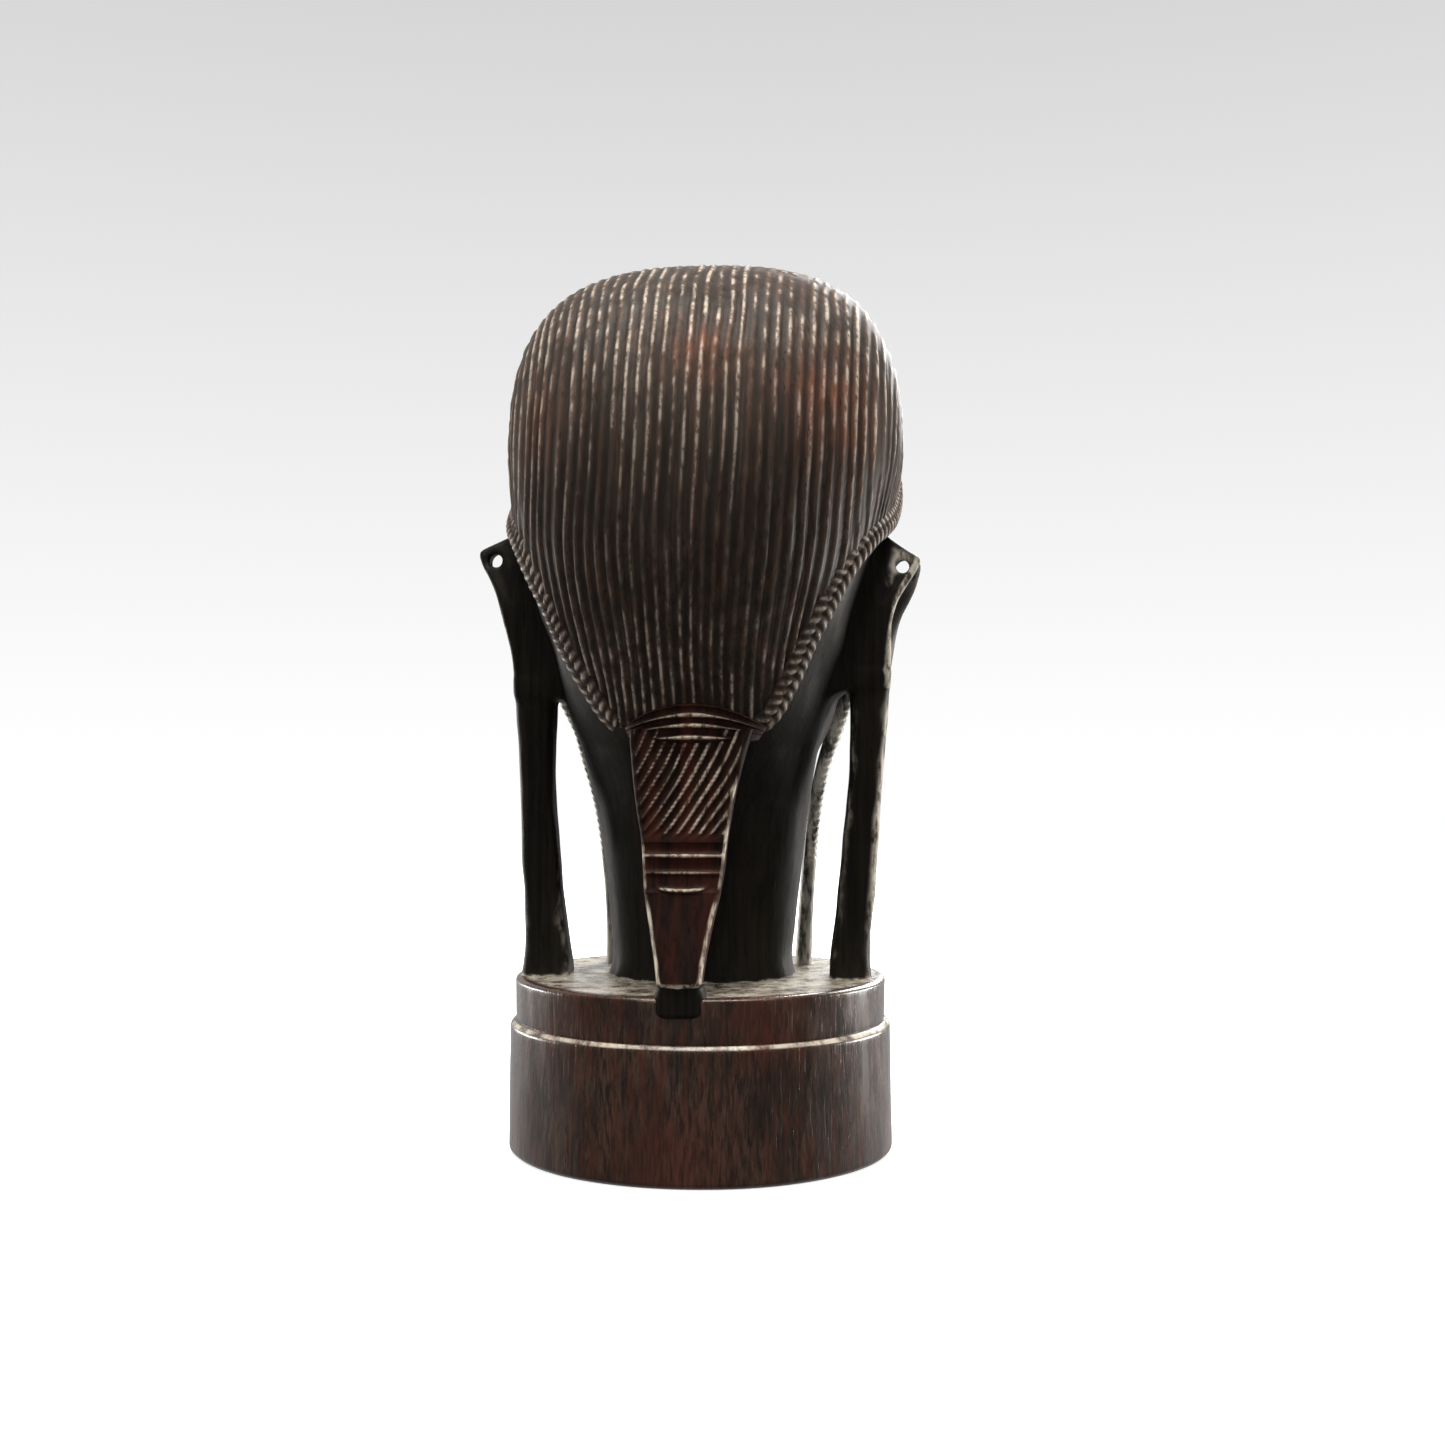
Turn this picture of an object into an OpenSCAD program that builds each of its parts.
// A carved hardwood bust on a round two-tier plinth: grooved hair cap, braided hairline,
// bound queue down the nape, and ears whose long lobes reach the plinth as free strands.
// +Z is up, the face looks along -Y, +X is the figure's own left,
// and the origin is the middle of the plinth's underside.

/* [Plinth] */
// Radius of the lower tier at the table
plinth_radius = 43.5; // [43:0.1:45]
// Height of the lower tier
base_height = 29.5; // [27:0.5:30.5]
// Radius of the upper tier
step_radius = 41.9; // [41.5:0.1:42.6]
// Height of the upper tier
step_height = 9.6; // [8:0.2:10.4]

/* [Head] */
// Height of the crown above the table
crown_top = 200; // [197:0.5:203]
// Half the width of the hair
hair_half_width = 45.2; // [44.2:0.2:46.2]
// How far the hair reaches behind the neck's axis
hair_back = 49; // [47:0.5:50]
// How far the hair stands proud of the scalp
hair_proud = 2; // [1.5:0.1:2.5]
// How far the nose stands off the face
nose_proud = 6; // [4:0.5:7]

/* [Strands] */
// Width of an outer ear strand at its middle
strand_width = 8; // [6:0.5:9]
// Width of an inner ear strand at its middle
thin_strand_width = 2.9; // [2.4:0.1:4]
// Radius of the hole pierced in each ear
ear_hole_radius = 1.4; // [1:0.1:1.8]

/* [Queue] */
// Width of the queue under its tie
queue_top_width = 24; // [20:0.5:26]
// Width of the queue at its lower end
queue_end_width = 9.4; // [8:0.2:10.4]

/* [Hidden] */
$fn = 96;

plinth_wood = [0.23, 0.17, 0.14];
hair_wood = [0.22, 0.18, 0.16];
skin_wood = [0.11, 0.10, 0.09];
queue_wood = [0.27, 0.16, 0.12];

stand_top = base_height + step_height;
foot_chamfer = 0.8;
base_draft = 0.4;

// All head pieces share this apex, so neighbouring pieces meet along the same rays.
heart = [0, 0, 125];
spokes = 48;
roundness = 2.2;

// Scalp and neck profile: height, half-width, reach in front and reach behind.
brow_z = 150;
wide_z = 156;
chin_z = 78;
scalp_width = [
    [stand_top, 20.9], [50, 21], [63, 22.5], [77, 24.3], [84, 25.7], [91, 27.4], [98, 29.7],
    [106, 32.5], [116, 34.7], [128, 37.6], [142, 41], [150, 42.4], [wide_z, hair_half_width - hair_proud],
];
scalp_front = [
    [stand_top, 21], [63, 22.5], [chin_z - 1.2, 24], [chin_z + 0.5, 41], [84, 44.3], [92, 43],
    [104, 43.5], [120, 43], [138, 42.2], [146, 44.3], [brow_z, 44],
];
scalp_back = [
    [stand_top, 17], [63, 17.5], [76, 19], [84, 22.5], [92, 27], [100, 30], [115, 38.5],
    [130, 44.5], [brow_z, hair_back - hair_proud],
];

// Edge of the hair by angle from the face, and the upper edge of the braid along it.
hair_edge = [
    [0, 51], [30, 49], [60, 38.5], [80, 27.5], [97, 20.5], [108, 16.5], [119, 9.5], [128, -2],
    [134, -14], [138, -26], [143, -40], [150, -46.5], [158, -45.5], [180, -40],
];
crown_edge = [
    [0, 57], [30, 55], [60, 45.5], [80, 34.5], [97, 27.5], [108, 23.5], [119, 18], [128, 10],
    [134, 2], [138, -8], [143, -25], [150, -41], [158, -45.5], [180, -40],
];
// Where the neck leaves the jaw and the nape, by angle from the face.
neck_edge = [[0, -63], [30, -60], [60, -50], [90, -42], [130, -46], [180, -53]];

// Elliptic fall of a profile from its widest height to the crown.
function fall(z, from_z, power) =
    pow(max(0, 1 - pow((z - from_z) / (crown_top - hair_proud - from_z), power)), 1 / power);
function half_width(z) = lookup(z, scalp_width) * (z > wide_z ? fall(z, wide_z, 2.85) : 1);
function front_reach(z) = lookup(z, scalp_front) * (z > brow_z ? fall(z, brow_z, 2.3) : 1);
function back_reach(z) = lookup(z, scalp_back) * (z > brow_z ? fall(z, brow_z, 2.08) : 1);
function reach_y(y, z) = y < 0 ? front_reach(z) : back_reach(z);

// Half-width of the scalp at one depth and height.
function side_x(y, z) =
    half_width(z) * pow(max(0, 1 - pow(abs(y) / reach_y(y, z), roundness)), 1 / roundness);
function inside(p) =
    p.z < crown_top - hair_proud && abs(p.y) < reach_y(p.y, p.z) && abs(p.x) < side_x(p.y, p.z);

// az turns from the face towards the figure's left, el rises from level.
function aim(az, el) = [sin(az) * cos(el), -cos(az) * cos(el), sin(el)];
function ray(dir, low, high, steps) =
    steps == 0 ? low
    : let (middle = (low + high) / 2)
      inside(heart + middle * dir) ? ray(dir, middle, high, steps - 1) : ray(dir, low, middle, steps - 1);
function scalp(az, el, proud) =
    let (dir = aim(az, el)) heart + (ray(dir, 5, 110, 18) + proud) * dir;
function from_face(az) = abs(az) > 180 ? 360 - abs(az) : abs(az);
function edge(table, az) = lookup(from_face(az), table);
function blend(a, b, t) = a + (b - a) * t;

// One closed ring of points between two edges of the head.
function head_ring(lower, upper, t, proud) = [
    for (i = [0 : spokes - 1])
        let (az = 360 * i / spokes)
        scalp(az > 180 ? az - 360 : az, blend(edge(lower, az), edge(upper, az), t), proud)
];
function flatten(lists) = [for (list = lists) each list];

// Side walls between rings of n points, each ring n indices after the one below it.
function walls(n, rings, first) = [
    for (r = [0 : rings - 2], i = [0 : n - 1])
        let (j = (i + 1) % n, low = first + r * n, high = low + n)
        each [[low + i, high + i, high + j], [low + i, high + j, low + j]]
];
function fan_below(n, first, tip) = [for (i = [0 : n - 1]) [tip, first + i, first + (i + 1) % n]];
function fan_above(n, first, tip) = [for (i = [0 : n - 1]) [tip, first + (i + 1) % n, first + i]];

// A solid of rings stacked upwards, closed by a point below and a point above.
module ringed(rings, below, above) {
    n = len(rings[0]);
    last = 2 + (len(rings) - 1) * n;
    polyhedron(
        concat([below, above], flatten(rings)),
        concat(walls(n, len(rings), 2), fan_below(n, 2, 0), fan_above(n, last, 1)),
        convexity = 6
    );
}

// A relief that stands on the scalp over a patch of rows, each row a list of [az, el, height].
module relief(rows) {
    n = len(rows[0]);
    m = len(rows);
    top = n * m;
    points = concat(
        [for (row = rows, p = row) scalp(p[0], p[1], 0)],
        [for (row = rows, p = row) scalp(p[0], p[1], p[2])]
    );
    sheet = [
        for (r = [0 : m - 2], i = [0 : n - 2])
            let (a = r * n + i)
            each [[a, a + 1, a + n + 1], [a, a + n + 1, a + n]]
    ];
    rim = concat(
        [for (i = [0 : n - 2]) [i, i + 1]],
        [for (r = [0 : m - 2]) [r * n + n - 1, (r + 1) * n + n - 1]],
        [for (i = [n - 1 : -1 : 1]) [(m - 1) * n + i, (m - 1) * n + i - 1]],
        [for (r = [m - 1 : -1 : 1]) [r * n, (r - 1) * n]]
    );
    polyhedron(
        points,
        concat(
            sheet,
            [for (f = sheet) [f[2] + top, f[1] + top, f[0] + top]],
            [for (e = rim) each [[e[1], e[0], e[0] + top], [e[1], e[0] + top, e[1] + top]]]
        ),
        convexity = 4
    );
}

// A bar through stations [x, y, z, half_width, half_depth], with rounded corners.
bar_sides = 16;
bar_squareness = 3.2;
function corner(angle) =
    let (c = cos(angle), s = sin(angle), k = 2 / bar_squareness)
    [sign(c) * pow(abs(c), k), sign(s) * pow(abs(s), k)];
module bar(stations) {
    rings = [
        for (s = stations) [
            for (i = [0 : bar_sides - 1])
                let (c = corner(360 * i / bar_sides))
                [s[0] + s[3] * c[0], s[1] + s[4] * c[1], s[2]]
        ]
    ];
    first = stations[0];
    last = stations[len(stations) - 1];
    ringed(rings, [first[0], first[1], first[2]], [last[0], last[1], last[2]]);
}

module plinth_base() {
    color(plinth_wood)
        rotate_extrude() polygon([
            [0, 0], [plinth_radius - foot_chamfer, 0], [plinth_radius, foot_chamfer],
            [plinth_radius - base_draft, base_height], [0, base_height],
        ]);
}

module plinth_step() {
    color(plinth_wood) difference() {
        translate([0, 0, base_height]) cylinder(h = step_height, r = step_radius);
        support_shape(notch_depth, stand_top + 1);
    }
}

module neck() {
    rungs = [stand_top, 50, 63, 72];
    column = [
        for (z = rungs) [
            for (i = [0 : spokes - 1])
                let (az = 360 * i / spokes, s = sin(az), c = -cos(az), k = 2 / roundness)
                [
                    half_width(z) * sign(s) * pow(abs(s), k),
                    (c < 0 ? front_reach(z) : back_reach(z)) * sign(c) * pow(abs(c), k),
                    z,
                ]
        ]
    ];
    color(skin_wood)
        ringed(concat(column, [head_ring(neck_edge, crown_edge, 0, 0)]), [0, 0, stand_top], heart);
}

module head() {
    steps = 16;
    color(skin_wood) star([for (k = [0 : steps]) head_ring(neck_edge, crown_edge, k / steps, 0)]);
}

// A piece of the head that fills every ray between its lowest and its highest ring.
module star(rings) {
    n = len(rings[0]);
    polyhedron(
        concat([heart], flatten(rings)),
        concat(
            walls(n, len(rings), 1),
            fan_below(n, 1, 0),
            fan_above(n, 1 + (len(rings) - 1) * n, 0)
        ),
        convexity = 6
    );
}

module hair_crown() {
    steps = 12;
    zenith = [[0, 90], [180, 90]];
    rings = [for (k = [0 : steps - 1]) head_ring(crown_edge, zenith, k / steps, hair_proud)];
    color(hair_wood) ringed(rings, heart, scalp(0, 90, hair_proud));
}

// A stretch of the raised braid along the edge of the hair.
braid_proud = hair_proud + 0.5;
module hairline(from_az, to_az) {
    steps = 10;
    color(hair_wood) relief([
        for (v = [0, 0.5, 1]) [
            for (i = [0 : steps])
                let (az = blend(from_az, to_az, i / steps))
                [az, blend(edge(hair_edge, az), edge(crown_edge, az), v), braid_proud]
        ]
    ]);
}

// Each row of the nose is [elevation, half-width in degrees, height off the face].
module nose() {
    steps = 8;
    root = [14, 1.5, 0.6];
    tip = [-12.5, 8, nose_proud];
    under = [-17, 8, 0.4];
    rows = [
        for (k = [0 : steps])
            let (t = k / steps, s = t < 0.8 ? t / 0.8 : (t - 0.8) / 0.2)
            t < 0.8 ? blend(root, tip, s) : blend(tip, under, s)
    ];
    color(skin_wood) relief([
        for (k = [steps : -1 : 0])
            let (row = rows[k])
            [for (u = [-1 : 0.25 : 1]) [u * row[1] * 1.15, row[0], relief_edge + row[2] * (1 - u * u)]]
    ]);
}

// Places and half sizes of the lips and eyes, in degrees seen from the heart: [azimuth, elevation].
lips_at = [0, -25.5];
lips_half = [14, 4];
eye_at = [18, 15];
eye_half = [8, 4];
relief_edge = 0.3;
lips_proud = 2;
eye_proud = 1.4;

module lips() {
    color(skin_wood) relief([
        for (v = [-1 : 0.25 : 1])
            [for (u = [-1 : 0.2 : 1])
                let (height = relief_edge + lips_proud * (1 - u * u) * abs(sin(180 * v)))
                [lips_at.x + lips_half.x * u, lips_at.y + lips_half.y * v, height]]
    ]);
}

module eye(side) {
    color(skin_wood) relief([
        for (v = [-1 : 0.4 : 1])
            [for (u = [-1 : 0.25 : 1])
                let (height = relief_edge + eye_proud * (1 - u * u) * (1 - v * v))
                [side * eye_at.x + eye_half.x * u, eye_at.y + eye_half.y * v, height]]
    ]);
}
module eye_left() { eye(1); }
module eye_right() { eye(-1); }

// Height at which each ear's lobe parts into its two strands.
lobe_z = 102;

// Ear stations from the lobe up: [z, back y, back rim x, scoop x, front rim x, front y].
ear_stations = [
    [lobe_z, 9, 42.3, 41, 42.3, -14.5],
    [108, 9.3, 42.4, 39.8, 42.8, -12.5],
    [114, 9.5, 42.8, 39.8, 44.1, -11],
    [122, 9.5, 43.8, 41.6, 46.6, -9.5],
    [129, 9, 46.2, 45, 49.2, -7.5],
    [134, 7.5, 49.6, 49.4, 50.4, -4],
];
// Above this height the ear stands clear of the head, from this distance outwards.
ear_clear_z = 125;
ear_clear_x = 42.8;
// The last station becomes the sloping top.
ear_last_z = 134;
ear_top = 138.5;
ear_slope = 0.55;
ear_tip = [46, 2];
ear_hole_x = 45.9;
ear_hole_z = 133.2;
function ear_top_z(x) = ear_top - ear_slope * (x - ear_clear_x);
module ear(side) {
    rings = [
        for (s = ear_stations)
            let (
                z = s[0],
                inner_back = z > ear_clear_z ? ear_clear_x : side_x(s[1], z),
                inner_front = z > ear_clear_z ? ear_clear_x : side_x(s[5], z),
                outline = [
                    [inner_back, s[1]], [inner_front, s[5]], [s[4] - 1.5, s[5]], [s[4], s[5] + 1.5],
                    [s[3], (s[1] + s[5]) / 2], [s[2], s[1] - 1.2], [s[2] - 1.2, s[1]],
                ]
            )
            [for (p = outline) [p.x, p.y, z < ear_last_z ? z : ear_top_z(p.x)]]
    ];
    color(skin_wood) mirror([side < 0 ? 1 : 0, 0, 0]) difference() {
        ringed(rings, [37.5, 0, lobe_z], [ear_tip.x, ear_tip.y, ear_top_z(ear_tip.x)]);
        translate([ear_hole_x, 20, ear_hole_z]) rotate([90, 0, 0]) cylinder(h = 40, r = ear_hole_radius);
    }
}
module ear_left() { ear(1); }
module ear_right() { ear(-1); }

module outer_strand(side) {
    half = strand_width / 2;
    color(skin_wood) mirror([side < 0 ? 1 : 0, 0, 0]) bar([
        [34.3, 3.3, stand_top, half + 1.4, 5.7],
        [34.3, 3.3, stand_top + 3, half + 1, 5.3],
        [34.6, 3.2, 49, half + 0.5, 4.5],
        [35.6, 3.2, 60, half + 0.2, 4.2],
        [36.9, 3.3, 77, half - 0.2, 4.3],
        [37.6, 3.4, 90, half, 4.8],
        [37.8, 3.5, lobe_z, half + 0.4, 5.5],
    ]);
}
module outer_strand_left() { outer_strand(1); }
module outer_strand_right() { outer_strand(-1); }

module inner_strand(side) {
    half = thin_strand_width / 2;
    color(skin_wood) mirror([side < 0 ? 1 : 0, 0, 0]) bar([
        [22.6, -19.3, stand_top, half + 0.45, 2.5],
        [22.9, -18.4, 50, half + 0.2, 2.1],
        [23.9, -17.2, 64, half + 0.1, 1.9],
        [25.4, -16, 76, half + 0.1, 1.9],
        [28.2, -14.4, 88, half + 0.1, 1.9],
        [32.2, -12.6, 98.5, half + 0.2, 2.1],
        [34, -12.2, lobe_z, half + 0.4, 2.3],
    ]);
}
module inner_strand_left() { inner_strand(1); }
module inner_strand_right() { inner_strand(-1); }

// The queue hangs from the nape, leans outwards and ends over the back edge of the plinth.
tie_z = 99.9;
twist_top = 91.4;
twist_end = 70.8;
band_end = 60.3;
tip_end = 41;
tie_x = -1.9;
tie_reach = 15;
tie_back = 35.5;
tie_depth = 5;
tie_bow = 26;
cord_thick = 2.5;
cord_gap = 0.2;

// One arched cord of the tie, an arc of the given outer radius.
module tie_cord(outer) {
    intersection() {
        translate([tie_x, tie_back, tie_z - tie_bow])
            rotate([90, 0, 0]) linear_extrude(height = tie_depth) difference() {
                circle(r = outer);
                circle(r = outer - cord_thick);
            }
        translate([tie_x - tie_reach, tie_back - tie_depth - 0.5, twist_top])
            cube([2 * tie_reach, tie_depth + 1, tie_bow]);
    }
}

module queue_tie() {
    color(queue_wood) for (i = [0 : 2]) tie_cord(tie_bow - i * (cord_thick + cord_gap));
}

module queue_twist() {
    color(queue_wood) bar([
        [-0.1, 33.3, twist_end, 9, 4.4],
        [-0.4, 32.4, 81, 10.6, 4.5],
        [-1.2, 31.5, twist_top - 0.1, queue_top_width / 2, 4.4],
    ]);
}

module queue_bands() {
    count = 3;
    pitch = (twist_end - band_end) / count;
    color(queue_wood) for (i = [0 : count - 1]) {
        low = band_end + i * pitch;
        lean = 35.2 - 0.6 * i;
        half = 8.1 + 0.45 * i;
        bar([
            [0.1, lean, low + 0.1, half - 0.5, 3.9],
            [0.1, lean, low + pitch / 2, half, 4.4],
            [0, lean, low + pitch - 0.1, half - 0.5, 3.9],
        ]);
    }
}

module queue_tip() {
    color(queue_wood) bar([
        [0.9, 39.8, tip_end, queue_end_width / 2, 3.2],
        [0.8, 38.4, 49, queue_end_width / 2 + 1.2, 3.5],
        [0.3, 36, band_end, 8, 4],
    ]);
}

// The block under the queue's end, and the deeper notch cut for it in the plinth.
support_x = 0.8;
support_back = 34;
support_foot = 33.5;
support_width = 10.8;
support_depth = 8.8;
notch_depth = 12;
module support_shape(depth, top) {
    translate([support_x - support_width / 2, support_back, support_foot])
        cube([support_width, depth, top - support_foot]);
}

module queue_support() {
    color(skin_wood) support_shape(support_depth, tip_end);
}

plinth_base();
plinth_step();
neck();
head();
nose();
lips();
eye_left();
eye_right();
hair_crown();
hairline(-75, 75);  // hairline_front
hairline(75, 150);  // hairline_braid_left
hairline(-150, -75);  // hairline_braid_right
ear_left();
ear_right();
outer_strand_left();
outer_strand_right();
inner_strand_left();
inner_strand_right();
queue_tie();
queue_twist();
queue_bands();
queue_tip();
queue_support();
